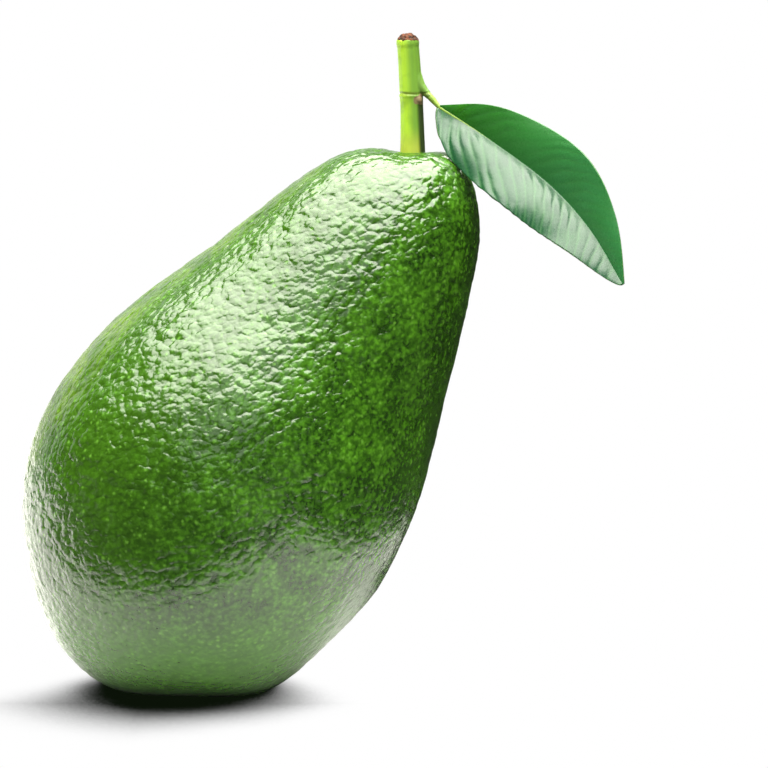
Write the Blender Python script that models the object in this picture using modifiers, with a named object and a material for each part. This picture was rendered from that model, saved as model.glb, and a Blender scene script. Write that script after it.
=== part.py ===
"""A whole green avocado with its stem and one leaf. Metres, +Z up.

It stands at a lean on a small flat spot under its belly. The origin is on that spot, the neck leans
towards +X, and the leaf comes off the stem towards +X with its glossy upper face towards -Y.
"""

import math

import bmesh
import bpy
from mathutils import Vector, noise

MM = 0.001
GAP = 0.3 * MM  # between neighbours that touch on the real fruit

# The fruit: a pear shape round a straight axis, which leans over the flat spot
FRUIT_LENGTH = 115.6 * MM
FULLNESS = [33.0, 37.4, 36.0, 32.2, 26.9, 24.9, 26.1]  # mm, in even steps from blossom end to neck
DEPTH_AT_BLOSSOM = 1.02  # front to back, as a share of the width
DEPTH_AT_NECK = 0.94
LEAN = math.radians(56.5)  # the axis, up from the floor
AXIS_POINT = Vector((10.4, 0.0, 43.8)) * MM  # where the axis passes over the flat spot
AXIS_POINT_FROM_BLOSSOM = 50.7 * MM
FRUIT_DIVISIONS = 30  # of each side of the cube that is rounded into the fruit

# Underneath, the belly is a little fuller on the side that the fruit leans to
SAG = 2.0 * MM
SAG_X = 14.0 * MM
SAG_WIDTH = 10.0 * MM
SAG_HEIGHT = 8.0 * MM

# The neck ends in a low crown with a dimple that the stem grows from
CROWN_Z = 97.8 * MM
CROWN_RADIUS = 25.0 * MM  # front to back
CROWN_BLEND = 2.5 * MM
DIMPLE_DEPTH = 1.6 * MM
DIMPLE_WIDTH = 4.0 * MM

# The skin's relief: broad unevenness, and the pebbles of the skin
LUMP_SIZE = 20.0 * MM
LUMP_HEIGHT = 0.35 * MM
PEBBLE_SIZE = 7.0 * MM
PEBBLE_HEIGHT = 0.16 * MM
CALM_DISTANCE = 7.0 * MM  # the relief fades out over this, at the floor and at the stem

# The stem: a tapering round stalk with a node ring half way up and a corky cut top
STEM_PLACE = Vector((40.4, 1.5, 0.0)) * MM  # of its foot, seen from above
STEM_TOP = Vector((39.35, 1.5, 118.0)) * MM
STEM_BOW = 0.25 * MM  # towards +X at mid height
STEM_RINGS = [  # share of the stem's height, radius in mm
    (0.00, 2.25),
    (0.18, 2.15),
    (0.38, 2.06),
    (0.455, 2.10),
    (0.475, 2.20),
    (0.495, 2.10),
    (0.60, 2.04),
    (0.75, 1.98),
    (0.88, 1.98),
    (0.91, 2.08),
    (0.945, 2.02),
    (0.975, 1.55),
    (1.00, 0.85),
]
STEM_BEVEL_RESOLUTION = 5

# On the stem's right side: the shoulder that carries the leaf's stalk, and the scar of a bud below it
SHOULDER = [  # x, y, z and radius in mm
    (39.9, 1.5, 112.0, 1.55),
    (40.9, 1.2, 109.9, 1.35),
    (41.8, 0.9, 108.4, 1.00),
    (42.6, 0.7, 107.6, 0.72),
]
BUD_PLACE = Vector((41.3, -0.2, 106.6)) * MM
BUD_RADIUS = 0.85 * MM

# The leaf: a blade folded along an arched midrib, on a short thin stalk
STALK_START = Vector((42.9, 0.6, 107.3)) * MM
STALK_RADIUS = 0.60 * MM
MIDRIB = [  # mm, from the blade's base to its tip
    (45.1, 0.0, 105.0),
    (53.5, -2.6, 99.7),
    (64.2, -7.0, 92.0),
    (71.5, -11.3, 84.2),
    (77.2, -15.5, 74.9),
]
MIDRIB_RADIUS = 0.50 * MM
MIDRIB_TIP_RADIUS = 0.28 * MM
MIDRIB_DROP = 0.25 * MM  # the rib stands out behind the blade
LEAF_LOWER_HALF = (9.3 * MM, 0.85, 0.75)  # width, skew towards the base, taper towards the ends
LEAF_UPPER_HALF = (9.1 * MM, 0.97, 1.00)
LEAF_TIP_WIDTH = 0.35 * MM
LEAF_THICKNESS = 0.70 * MM
LEAF_FACING = Vector((-0.15, -0.85, 0.50))  # where the middle of the blade looks
LEAF_LOWER_FOLD = math.radians(24.0)  # how much each half rises from the midrib
LEAF_UPPER_FOLD = math.radians(40.0)
LEAF_FLATTENING = 0.30  # of the fold, towards the edges
LEAF_WAVE = 0.45 * MM
LEAF_WAVES = 2.5
LEAF_ROWS = 28
LEAF_COLUMNS = 12

ALONG = Vector((math.cos(LEAN), 0.0, math.sin(LEAN)))  # blossom end to neck
ACROSS = Vector((-math.sin(LEAN), 0.0, math.cos(LEAN)))


def clear_scene():
    for ob in list(bpy.data.objects):
        bpy.data.objects.remove(ob)


def collection(name):
    made = bpy.data.collections.new(name)
    bpy.context.scene.collection.children.link(made)
    return made


def material(name, colour, roughness):
    made = bpy.data.materials.new(name)
    made.use_nodes = True
    shader = made.node_tree.nodes["Principled BSDF"]
    shader.inputs["Base Color"].default_value = (*colour, 1.0)
    shader.inputs["Roughness"].default_value = roughness
    shader.inputs["Metallic"].default_value = 0.0
    return made


def mesh_object(name, bm, home):
    mesh = bpy.data.meshes.new(name)
    bm.to_mesh(mesh)
    bm.free()
    ob = bpy.data.objects.new(name, mesh)
    home.objects.link(ob)
    return ob


def smooth_step(value):
    t = min(max(value, 0.0), 1.0)
    return t * t * (3.0 - 2.0 * t)


def soft_min(a, b, blend):
    """The smaller of a and b, rounded off where they are within blend of each other."""
    h = min(max(0.5 + 0.5 * (b - a) / blend, 0.0), 1.0)
    return b * (1.0 - h) + a * h - blend * h * (1.0 - h)


def through(values, position):
    """A smooth curve through evenly spaced values, read at a position from 0 to 1."""
    x = min(max(position, 0.0), 1.0) * (len(values) - 1)
    i = min(int(x), len(values) - 2)
    t = x - i
    b = values[i]
    c = values[i + 1]
    a = values[i - 1] if i else b * 2.0 - c
    d = values[i + 2] if i + 2 < len(values) else c * 2.0 - b
    cubic = (b - c) * 3.0 + d - a
    square = a * 2.0 - b * 5.0 + c * 4.0 - d
    return b + ((c - a) * t + square * t * t + cubic * t * t * t) * 0.5


def bell(distance, width):
    return math.exp(-((distance / width) ** 2))


def stem_distance(p):
    return math.hypot(p.x - STEM_PLACE.x, p.y - STEM_PLACE.y)


def relief(p):
    """How far the skin stands out at p: it is uneven all over, but calm at the floor and at the stem."""
    lumps = noise.noise(p / LUMP_SIZE) * LUMP_HEIGHT
    pebbles = noise.noise(p / PEBBLE_SIZE) * PEBBLE_HEIGHT
    at_stem = stem_distance(p) if p.z > CROWN_Z - CALM_DISTANCE else CALM_DISTANCE
    calm = smooth_step(p.z / CALM_DISTANCE) * smooth_step(at_stem / CALM_DISTANCE)
    return (lumps + pebbles) * calm


def fruit_point(d):
    """The skin's point for a unit direction d, whose z points to the blossom end."""
    share = 0.5 * (1.0 - d.z)
    full = through(FULLNESS, share) * MM
    depth = DEPTH_AT_BLOSSOM + (DEPTH_AT_NECK - DEPTH_AT_BLOSSOM) * share
    centre = AXIS_POINT + ALONG * (share * FRUIT_LENGTH - AXIS_POINT_FROM_BLOSSOM)
    p = centre + ACROSS * (d.x * full) + Vector((0.0, d.y * full * depth, 0.0))
    p.z -= SAG * bell(p.x - SAG_X, SAG_WIDTH) * bell(max(p.z, 0.0), SAG_HEIGHT)
    p.z = soft_min(p.z, CROWN_Z - p.y * p.y / (2.0 * CROWN_RADIUS), CROWN_BLEND)
    if p.z > CROWN_Z - CALM_DISTANCE:
        p.z -= DIMPLE_DEPTH * bell(stem_distance(p), DIMPLE_WIDTH)
    outward = (ACROSS * d.x + Vector((0.0, d.y, 0.0)) - ALONG * d.z).normalized()
    return p + outward * relief(p)


def make_fruit(home, cutters):
    """A finely divided cube, rounded into a sphere and then into the fruit, and cut flat where it rests."""
    bm = bmesh.new()
    bmesh.ops.create_cube(bm, size=2.0)
    bmesh.ops.subdivide_edges(bm, edges=bm.edges, cuts=FRUIT_DIVISIONS - 1, use_grid_fill=True)
    for v in bm.verts:
        even = [math.tan(c * math.pi / 4.0) for c in v.co]
        v.co = fruit_point(Vector(even).normalized())
    fruit = mesh_object("fruit", bm, home)
    fruit.data.shade_smooth()
    block = bmesh.new()
    bmesh.ops.create_cube(block, size=FRUIT_LENGTH)
    bmesh.ops.translate(block, verts=block.verts, vec=Vector((0.0, 0.0, -0.5 * FRUIT_LENGTH)))
    floor = mesh_object("floor_cutter", block, cutters)
    floor.hide_render = True
    floor.display_type = "WIRE"
    cut = fruit.modifiers.new("flat spot", "BOOLEAN")
    cut.operation = "DIFFERENCE"
    cut.object = floor
    fruit.data.materials.append(material("green skin", (0.055, 0.190, 0.018), 0.35))
    return fruit


def tube(name, points, radii, home, resolution):
    """A round tube through points, with a radius at each, as a closed mesh."""
    curve = bpy.data.curves.new(name, "CURVE")
    curve.dimensions = "3D"
    curve.bevel_depth = 1.0
    curve.bevel_resolution = resolution
    curve.use_fill_caps = True
    spline = curve.splines.new("POLY")
    spline.points.add(len(points) - 1)
    for knot, place, radius in zip(spline.points, points, radii):
        knot.co = (*place, 1.0)
        knot.radius = radius
    drawn = bpy.data.objects.new(name, curve)
    home.objects.link(drawn)
    bpy.context.view_layer.update()
    evaluated = drawn.evaluated_get(bpy.context.evaluated_depsgraph_get())
    bm = bmesh.new()
    bm.from_mesh(bpy.data.meshes.new_from_object(evaluated))
    bmesh.ops.remove_doubles(bm, verts=bm.verts, dist=0.00001)
    bmesh.ops.recalc_face_normals(bm, faces=bm.faces)
    bpy.data.objects.remove(drawn)
    bpy.data.curves.remove(curve)
    return mesh_object(name, bm, home)


def join(body, others, solver="EXACT"):
    """Fuses the others into body by Boolean unions, and removes them."""
    for other in others:
        union = body.modifiers.new("with " + other.name, "BOOLEAN")
        union.operation = "UNION"
        union.solver = solver
        union.object = other
    bpy.context.view_layer.update()
    evaluated = body.evaluated_get(bpy.context.evaluated_depsgraph_get())
    fused = bpy.data.meshes.new_from_object(evaluated)
    body.modifiers.clear()
    body.data = fused
    for other in others:
        bpy.data.objects.remove(other)


def stem_centre(share):
    """The middle of the stalk, from just clear of the dimple's skin up to the cut top."""
    foot = STEM_PLACE.copy()
    foot.z = CROWN_Z - DIMPLE_DEPTH * bell(STEM_RINGS[0][1] * MM, DIMPLE_WIDTH) + GAP
    bow = Vector((STEM_BOW * math.sin(math.pi * share), 0.0, 0.0))
    return foot.lerp(STEM_TOP, share) + bow


def make_stem(home):
    """The stalk, with the shoulder and the bud scar fused to its side."""
    centres = [stem_centre(share) for share, _ in STEM_RINGS]
    radii = [radius * MM for _, radius in STEM_RINGS]
    stem = tube("stem", centres, radii, home, STEM_BEVEL_RESOLUTION)
    places = [Vector(row[:3]) * MM for row in SHOULDER]
    shoulder = tube("shoulder", places, [row[3] * MM for row in SHOULDER], home, 3)
    bm = bmesh.new()
    bmesh.ops.create_uvsphere(bm, u_segments=12, v_segments=8, radius=BUD_RADIUS)
    bmesh.ops.translate(bm, verts=bm.verts, vec=BUD_PLACE)
    bud = mesh_object("bud", bm, home)
    join(stem, [shoulder, bud])
    stem.data.shade_smooth()
    stem.data.set_sharp_from_angle(angle=math.radians(40.0))
    stem.data.materials.append(material("green stalk", (0.300, 0.500, 0.050), 0.45))
    return stem


def midrib_point(share):
    return through([Vector(place) * MM for place in MIDRIB], share)


def leaf_frame(share):
    """Where the blade is at a share of its length: the midrib, its side direction and its facing."""
    step = 0.01
    ahead = midrib_point(min(share + step, 1.0)) - midrib_point(max(share - step, 0.0))
    ahead.normalize()
    facing = (LEAF_FACING - ahead * LEAF_FACING.dot(ahead)).normalized()
    return midrib_point(share), ahead.cross(facing), facing


def leaf_half_width(share, half):
    """Rounded near the base, widest near the middle, and drawn out to a point."""
    width, skew, taper = half
    return width * max(math.sin(math.pi * share**skew), 0.0) ** taper + LEAF_TIP_WIDTH


def leaf_point(share, side):
    """A point of the blade, for a side from -1, its upper edge, to 1, its lower edge."""
    middle, sideways, facing = leaf_frame(share)
    out = abs(side)
    fold = LEAF_LOWER_FOLD if side > 0.0 else LEAF_UPPER_FOLD
    reach = leaf_half_width(share, LEAF_LOWER_HALF if side > 0.0 else LEAF_UPPER_HALF)
    rise = reach * out * math.sin(fold) * (1.0 - LEAF_FLATTENING * out)
    wave = LEAF_WAVE * out**2 * math.sin(2.0 * math.pi * LEAF_WAVES * share + side)
    flat = side * reach * math.cos(fold)
    return middle + sideways * flat + facing * (rise + wave * math.sin(math.pi * share))


def make_leaf(home):
    """A flat grid bent into the folded blade and given its thickness, with the midrib fused behind it."""
    bm = bmesh.new()
    bmesh.ops.create_grid(bm, x_segments=LEAF_ROWS, y_segments=LEAF_COLUMNS, size=1.0)
    for v in bm.verts:
        v.co = leaf_point(0.5 + 0.5 * v.co.x, v.co.y)
    bmesh.ops.triangulate(bm, faces=bm.faces)
    leaf = mesh_object("leaf", bm, home)
    wall = leaf.modifiers.new("thickness", "SOLIDIFY")
    wall.thickness = LEAF_THICKNESS
    wall.offset = 0.0
    base = midrib_point(0.0)
    places = [STALK_START, STALK_START.lerp(base, 0.5)]
    radii = [STALK_RADIUS, STALK_RADIUS]
    rib_steps = 16
    for i in range(rib_steps):
        share = 0.94 * i / (rib_steps - 1)
        middle, _, facing = leaf_frame(share)
        places.append(middle - facing * MIDRIB_DROP)
        radii.append(MIDRIB_RADIUS + (MIDRIB_TIP_RADIUS - MIDRIB_RADIUS) * share)
    rib = tube("rib", places, radii, home, 2)
    join(leaf, [rib], solver="MANIFOLD")  # the exact solver loses this thin blade
    leaf.data.shade_smooth()
    leaf.data.set_sharp_from_angle(angle=math.radians(50.0))
    leaf.data.materials.append(material("leaf green", (0.035, 0.190, 0.060), 0.32))
    return leaf


clear_scene()
parts = collection("avocado")
cutters = collection("cutters")
make_fruit(parts, cutters)
make_stem(parts)
make_leaf(parts)
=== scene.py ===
# %% [markdown]
# # A whole avocado with its stem and one leaf
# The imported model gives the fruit, the stalk and the leaf at their real size. Each of them is grown
# again here with the finer skin, fibres and veins that the eye expects, and then finished, lit and framed.
# Everything is in metres, and the fruit stands on its flat spot at the origin.

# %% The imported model
import math

import bmesh
import bpy
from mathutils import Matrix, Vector, noise


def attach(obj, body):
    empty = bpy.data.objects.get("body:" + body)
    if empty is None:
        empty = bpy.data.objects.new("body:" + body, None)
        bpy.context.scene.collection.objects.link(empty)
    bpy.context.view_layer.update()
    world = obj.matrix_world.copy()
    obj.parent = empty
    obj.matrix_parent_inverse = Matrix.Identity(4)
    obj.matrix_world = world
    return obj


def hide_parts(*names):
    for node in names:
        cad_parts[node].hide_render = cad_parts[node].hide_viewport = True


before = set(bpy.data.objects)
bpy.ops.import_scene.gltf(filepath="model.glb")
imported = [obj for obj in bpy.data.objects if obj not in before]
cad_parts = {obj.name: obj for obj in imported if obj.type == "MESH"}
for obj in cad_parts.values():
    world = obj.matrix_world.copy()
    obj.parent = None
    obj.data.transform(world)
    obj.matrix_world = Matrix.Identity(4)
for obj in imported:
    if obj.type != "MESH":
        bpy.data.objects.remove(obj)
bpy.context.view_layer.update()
MM = 0.001
print("nodes:", sorted(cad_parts))

# %% [markdown]
# ## Helpers
# Colours are picked as sRGB hex values, as in any paint program, but shaders reckon in linear light, so
# one function converts them. Others add a node to any tree, start a material, lay its colours over each
# other, start a Geometry Nodes tree, and turn a built-up mesh into an object. The last one runs such a
# tree on a base mesh and keeps the result as a plain mesh, which is what a library part has to hold.

# %% Colour and nodes
def linear(hex_colour):
    """An sRGB colour such as "#1c3c07" as linear red, green, blue and alpha."""
    shares = [int(hex_colour[i : i + 2], 16) / 255.0 for i in (1, 3, 5)]
    light = [s / 12.92 if s <= 0.04045 else ((s + 0.055) / 1.055) ** 2.4 for s in shares]
    return (*light, 1.0)


def node(tree, kind, inputs=None, **settings):
    """Adds a node. inputs maps an input's name or number to a socket to link or a value to set."""
    made = tree.nodes.new(kind)
    for name, value in settings.items():
        setattr(made, name, value)
    for name, value in (inputs or {}).items():
        if isinstance(value, bpy.types.NodeSocket):
            tree.links.new(value, made.inputs[name])
        else:
            made.inputs[name].default_value = value
    return made


def blank_material(name):
    """A new material, its tree, its shader, and the place on the piece that patterns are read at."""
    made = bpy.data.materials.new(name)
    made.use_nodes = True
    tree = made.node_tree
    return made, tree, tree.nodes["Principled BSDF"], node(tree, "ShaderNodeTexCoord").outputs["Object"]


def paint(tree, shader, ground, layers):
    """Lays colours over a ground colour, each by its own share of 0 to 1, from the first to the last."""
    painted = linear(ground)
    for share, colour in layers:
        painted = node(
            tree, "ShaderNodeMix", {0: share, 6: painted, 7: linear(colour)}, data_type="RGBA"
        ).outputs[2]
    tree.links.new(painted, shader.inputs["Base Color"])


def geometry_tree(name, inputs, result):
    """A new Geometry Nodes tree and its inputs' sockets. inputs maps each input's name to its kind."""
    tree = bpy.data.node_groups.new(name, "GeometryNodeTree")
    for title, kind in inputs.items():
        tree.interface.new_socket(title, in_out="INPUT", socket_type="NodeSocket" + kind)
    tree.interface.new_socket(result, in_out="OUTPUT", socket_type="NodeSocketGeometry")
    return tree, node(tree, "NodeGroupInput").outputs


# %% Meshes
def mesh_object(name, bm):
    """Turns a bmesh into an object of the scene, shaded smooth."""
    mesh = bpy.data.meshes.new(name)
    bm.to_mesh(mesh)
    bm.free()
    mesh.shade_smooth()
    ob = bpy.data.objects.new(name, mesh)
    bpy.context.scene.collection.objects.link(ob)
    return ob


def finished(ob, tree=None, values=None):
    """Applies what is on ob, a Geometry Nodes tree first if one is given, and leaves a plain mesh."""
    if tree:
        grow = ob.modifiers.new(tree.name, "NODES")
        grow.node_group = tree
        for item in tree.interface.items_tree:
            if item.in_out == "INPUT" and item.name in values:
                grow[item.identifier] = values[item.name]
    evaluated = ob.evaluated_get(bpy.context.evaluated_depsgraph_get())
    mesh = bpy.data.meshes.new_from_object(evaluated)
    ob.modifiers.clear()
    ob.data = mesh
    print(ob.name, "has", len(mesh.vertices), "points")
    return ob


# %% [markdown]
# ## The camera
# The picture is 768 pixels square and shows 0.18 mm to a pixel at the fruit. The camera looks down a
# little, from far enough off that the fruit keeps its proportions. The place of the flat spot in the
# picture then fixes where the camera aims.

# %% Camera
PICTURE_SIDE = 768  # pixels
PIXEL = 0.18 * MM
FLAT_SPOT_PIXEL = (188, 687)
CAMERA_DISTANCE = 0.70
CAMERA_ELEVATION = math.radians(8.0)

picture_width = PICTURE_SIDE * PIXEL
aim_right = (PICTURE_SIDE / 2 - FLAT_SPOT_PIXEL[0]) * PIXEL
aim_up = (FLAT_SPOT_PIXEL[1] - PICTURE_SIDE / 2) * PIXEL / math.cos(CAMERA_ELEVATION)
towards_camera = Vector((0.0, -math.cos(CAMERA_ELEVATION), math.sin(CAMERA_ELEVATION)))
camera_data = bpy.data.cameras.new("camera")
camera = bpy.data.objects.new("camera", camera_data)
bpy.context.scene.collection.objects.link(camera)
camera.location = Vector((aim_right, 0.0, aim_up)) + towards_camera * CAMERA_DISTANCE
camera.rotation_euler = (-towards_camera).to_track_quat("-Z", "Y").to_euler()
camera_data.sensor_width = 36.0
camera_data.lens = camera_data.sensor_width * CAMERA_DISTANCE / picture_width
camera_data.clip_start = 0.01
camera_data.clip_end = 20.0
bpy.context.scene.camera = camera
print("lens", round(camera_data.lens, 1), "mm")

# %% [markdown]
# ## The fruit's form
# The fruit grew as one pear-shaped body, so one rule gives every point of it: how full it is along its
# leaning axis, the low crown round the stem, the dimple, and the flat spot that it rests on. A sphere
# with poles would pinch the skin's pattern at the ends. A finely divided cube that is rounded off keeps
# its squares even all over, so the pebbles come out alike everywhere.

# %% The rule for the fruit's surface
FRUIT_LENGTH = 115.6 * MM
FULLNESS = [33.0, 37.4, 36.0, 32.2, 26.9, 24.9, 26.1]  # mm, in even steps from blossom end to neck
DEPTH_AT_BLOSSOM = 1.02  # front to back, as a share of the width
DEPTH_AT_NECK = 0.94
LEAN = math.radians(56.5)
AXIS_POINT = Vector((10.4, 0.0, 43.8)) * MM
AXIS_POINT_FROM_BLOSSOM = 50.7 * MM
SAG = 2.0 * MM
SAG_X = 14.0 * MM
SAG_WIDTH = 10.0 * MM
SAG_HEIGHT = 8.0 * MM
CROWN_Z = 97.8 * MM
CROWN_RADIUS = 25.0 * MM
CROWN_BLEND = 2.5 * MM
DIMPLE_DEPTH = 1.6 * MM
DIMPLE_WIDTH = 4.0 * MM
LUMP_SIZE = 20.0 * MM
LUMP_HEIGHT = 0.35 * MM
RIPPLE_SIZE = 7.0 * MM
RIPPLE_HEIGHT = 0.16 * MM
CALM_DISTANCE = 7.0 * MM
STEM_PLACE = Vector((40.4, 1.5, 0.0)) * MM
ALONG = Vector((math.cos(LEAN), 0.0, math.sin(LEAN)))  # blossom end to neck
ACROSS = Vector((-math.sin(LEAN), 0.0, math.cos(LEAN)))
BLOSSOM_END = AXIS_POINT - ALONG * AXIS_POINT_FROM_BLOSSOM


def smooth_step(value):
    t = min(max(value, 0.0), 1.0)
    return t * t * (3.0 - 2.0 * t)


def soft_min(a, b, blend):
    """The smaller of a and b, rounded off where they are within blend of each other."""
    h = min(max(0.5 + 0.5 * (b - a) / blend, 0.0), 1.0)
    return b * (1.0 - h) + a * h - blend * h * (1.0 - h)


def through(values, position):
    """A smooth curve through evenly spaced values, read at a position from 0 to 1."""
    x = min(max(position, 0.0), 1.0) * (len(values) - 1)
    i = min(int(x), len(values) - 2)
    t = x - i
    b = values[i]
    c = values[i + 1]
    a = values[i - 1] if i else b * 2.0 - c
    d = values[i + 2] if i + 2 < len(values) else c * 2.0 - b
    cubic = (b - c) * 3.0 + d - a
    square = a * 2.0 - b * 5.0 + c * 4.0 - d
    return b + ((c - a) * t + square * t * t + cubic * t * t * t) * 0.5


def bell(distance, width):
    return math.exp(-((distance / width) ** 2))


def stem_distance(p):
    return math.hypot(p.x - STEM_PLACE.x, p.y - STEM_PLACE.y)


def unevenness(p):
    """How far the skin stands out at p over several millimetres."""
    lumps = noise.noise(p / LUMP_SIZE) * LUMP_HEIGHT
    ripples = noise.noise(p / RIPPLE_SIZE) * RIPPLE_HEIGHT
    at_stem = stem_distance(p) if p.z > CROWN_Z - CALM_DISTANCE else CALM_DISTANCE
    calm = smooth_step(p.z / CALM_DISTANCE) * smooth_step(at_stem / CALM_DISTANCE)
    return (lumps + ripples) * calm


def fruit_point(d):
    """The skin's point for a unit direction d, whose z points to the blossom end."""
    share = 0.5 * (1.0 - d.z)
    full = through(FULLNESS, share) * MM
    depth = DEPTH_AT_BLOSSOM + (DEPTH_AT_NECK - DEPTH_AT_BLOSSOM) * share
    centre = AXIS_POINT + ALONG * (share * FRUIT_LENGTH - AXIS_POINT_FROM_BLOSSOM)
    p = centre + ACROSS * (d.x * full) + Vector((0.0, d.y * full * depth, 0.0))
    p.z -= SAG * bell(p.x - SAG_X, SAG_WIDTH) * bell(max(p.z, 0.0), SAG_HEIGHT)
    p.z = soft_min(p.z, CROWN_Z - p.y * p.y / (2.0 * CROWN_RADIUS), CROWN_BLEND)
    if p.z > CROWN_Z - CALM_DISTANCE:
        p.z -= DIMPLE_DEPTH * bell(stem_distance(p), DIMPLE_WIDTH)
    outward = (ACROSS * d.x + Vector((0.0, d.y, 0.0)) - ALONG * d.z).normalized()
    return p + outward * unevenness(p)


# %% The smooth fruit
SKIN_DIVISIONS = 126  # of each side of the cube, which puts a point every half millimetre

bm = bmesh.new()
bmesh.ops.create_cube(bm, size=2.0)
bmesh.ops.subdivide_edges(bm, edges=bm.edges, cuts=SKIN_DIVISIONS - 1, use_grid_fill=True)
for v in bm.verts:
    even = [math.tan(c * math.pi / 4.0) for c in v.co]
    v.co = fruit_point(Vector(even).normalized())
fruit = mesh_object("fruit_skin", bm)
print("smooth fruit:", [round(side / MM, 1) for side in fruit.dimensions])

# %% [markdown]
# ## The pebbled skin
# The peel of a green avocado is covered in low pebbles a millimetre or two across, which run together
# into short slanting ridges with narrow creases between them. They break up the highlight and show in
# the outline, so they are real relief. One pattern gives them: turn the place to the ridges' slant,
# squeeze it to their length and width, let it wander a little, and read a smooth Voronoi texture there,
# whose cells are the pebbles. Geometry Nodes and shaders share those nodes, so one function builds the
# pattern in both: the mesh carries the larger pebbles, and the finish adds the fine ones between them,
# which are smaller than the mesh can hold.

# %% The pebbles' pattern, for any tree
PEBBLE = (2.0 * MM, 1.6 * MM, 1.4 * MM)  # long way, front to back, short way
FINE_PEBBLE = (1.35 * MM, 1.15 * MM, 1.0 * MM)
RIDGE_SLANT = math.radians(22.0)
PEBBLE_WANDER = 1.2  # of a pebble


def pebble_pattern(tree, place, size, slant):
    """The pebbles' height, from near 0 in the creases to 1 in their middles."""
    turned = node(
        tree, "ShaderNodeVectorRotate", {"Vector": place, "Angle": slant}, rotation_type="Y_AXIS"
    ).outputs[0]
    squeezed = node(tree, "ShaderNodeVectorMath", {0: turned, 1: size}, operation="DIVIDE").outputs[0]
    wander = node(
        tree, "ShaderNodeTexNoise", {"Vector": squeezed, "Scale": 0.7, "Detail": 1.0}
    ).outputs["Color"]
    centred = node(
        tree, "ShaderNodeVectorMath", {0: wander, 1: (0.5,) * 3}, operation="SUBTRACT"
    ).outputs[0]
    strayed = node(
        tree,
        "ShaderNodeVectorMath",
        {0: centred, 1: (PEBBLE_WANDER,) * 3, 2: squeezed},
        operation="MULTIPLY_ADD",
    ).outputs[0]
    from_middle = node(
        tree,
        "ShaderNodeTexVoronoi",
        {"Vector": strayed, "Scale": 1.0, "Smoothness": 0.45},
        feature="SMOOTH_F1",
    ).outputs["Distance"]
    squared = node(tree, "ShaderNodeMath", {0: from_middle, 1: from_middle}, operation="MULTIPLY").outputs[0]
    return node(tree, "ShaderNodeMapRange", {"Value": squared, "From Min": 0.8, "From Max": 0.0}).outputs[0]


# %% The tree that raises the pebbles
# The relief only cuts inwards, so that the fruit doesn't grow. It is lower on the side of the belly that
# looks down, to the front and to the right, and it dies out at the stem and on the flat spot. How strong
# it is, and how far the skin faces up to the left, towards the light, is kept for every point, and the
# peel's finish reads both, the second to place painted light on that flank.
pebbling, given = geometry_tree(
    "pebbled skin",
    {
        "Fruit": "Geometry",
        "Pebble size": "Vector",
        "Pebble height": "Float",
        "Swell size": "Float",
        "Swell height": "Float",
        "Slant": "Float",
        "Calm distance": "Float",
        "Stem foot": "Vector",
        "Light side": "Vector",
        "Smooth side": "Vector",
        "Smooth relief": "Float",
        "Peel": "Material",
    },
    "Skin",
)
place = node(pebbling, "GeometryNodeInputPosition").outputs[0]
outwards = node(pebbling, "GeometryNodeInputNormal").outputs[0]
domes = pebble_pattern(pebbling, place, given["Pebble size"], given["Slant"])
wide = node(
    pebbling, "ShaderNodeVectorMath", {0: place, 1: given["Swell size"]}, operation="DIVIDE"
).outputs[0]
swell = node(pebbling, "ShaderNodeTexNoise", {"Vector": wide, "Scale": 1.0, "Detail": 2.0}).outputs[0]
cut_domes = node(pebbling, "ShaderNodeMath", {0: domes, 1: 1.0}, operation="SUBTRACT").outputs[0]
cut_swell = node(pebbling, "ShaderNodeMath", {0: swell, 1: 0.75}, operation="SUBTRACT").outputs[0]
pebble_cut = node(
    pebbling, "ShaderNodeMath", {0: cut_domes, 1: given["Pebble height"]}, operation="MULTIPLY"
).outputs[0]
whole_cut = node(
    pebbling,
    "ShaderNodeMath",
    {0: cut_swell, 1: given["Swell height"], 2: pebble_cut},
    operation="MULTIPLY_ADD",
).outputs[0]
height = node(pebbling, "ShaderNodeSeparateXYZ", {0: place}).outputs["Z"]
off_floor = node(
    pebbling,
    "ShaderNodeMapRange",
    {"Value": height, "From Max": given["Calm distance"]},
    interpolation_type="SMOOTHSTEP",
).outputs[0]
from_stem = node(
    pebbling, "ShaderNodeVectorMath", {0: place, 1: given["Stem foot"]}, operation="DISTANCE"
).outputs["Value"]
off_stem = node(
    pebbling,
    "ShaderNodeMapRange",
    {"Value": from_stem, "From Min": 2.0 * MM, "From Max": given["Calm distance"]},
    interpolation_type="SMOOTHSTEP",
).outputs[0]
smooth_side = node(
    pebbling, "ShaderNodeVectorMath", {0: outwards, 1: given["Smooth side"]}, operation="DOT_PRODUCT"
).outputs["Value"]
on_belly = node(
    pebbling,
    "ShaderNodeMapRange",
    {"Value": smooth_side, "From Min": 0.90, "From Max": 0.45, "To Min": given["Smooth relief"]},
    interpolation_type="SMOOTHSTEP",
).outputs[0]
at_ends = node(pebbling, "ShaderNodeMath", {0: off_floor, 1: off_stem}, operation="MULTIPLY").outputs[0]
calm = node(pebbling, "ShaderNodeMath", {0: at_ends, 1: on_belly}, operation="MULTIPLY").outputs[0]
facing_light = node(
    pebbling, "ShaderNodeVectorMath", {0: outwards, 1: given["Light side"]}, operation="DOT_PRODUCT"
).outputs["Value"]
depth = node(pebbling, "ShaderNodeMath", {0: whole_cut, 1: calm}, operation="MULTIPLY").outputs[0]
shift = node(
    pebbling, "ShaderNodeVectorMath", {0: outwards, "Scale": depth}, operation="SCALE"
).outputs[0]
kept = given["Fruit"]
for name, value in (("relief", calm), ("facing_light", facing_light)):
    kept = node(
        pebbling,
        "GeometryNodeStoreNamedAttribute",
        {"Geometry": kept, "Name": name, "Value": value},
        data_type="FLOAT",
        domain="POINT",
    ).outputs[0]
moved = node(pebbling, "GeometryNodeSetPosition", {"Geometry": kept, "Offset": shift}).outputs[0]
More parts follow.
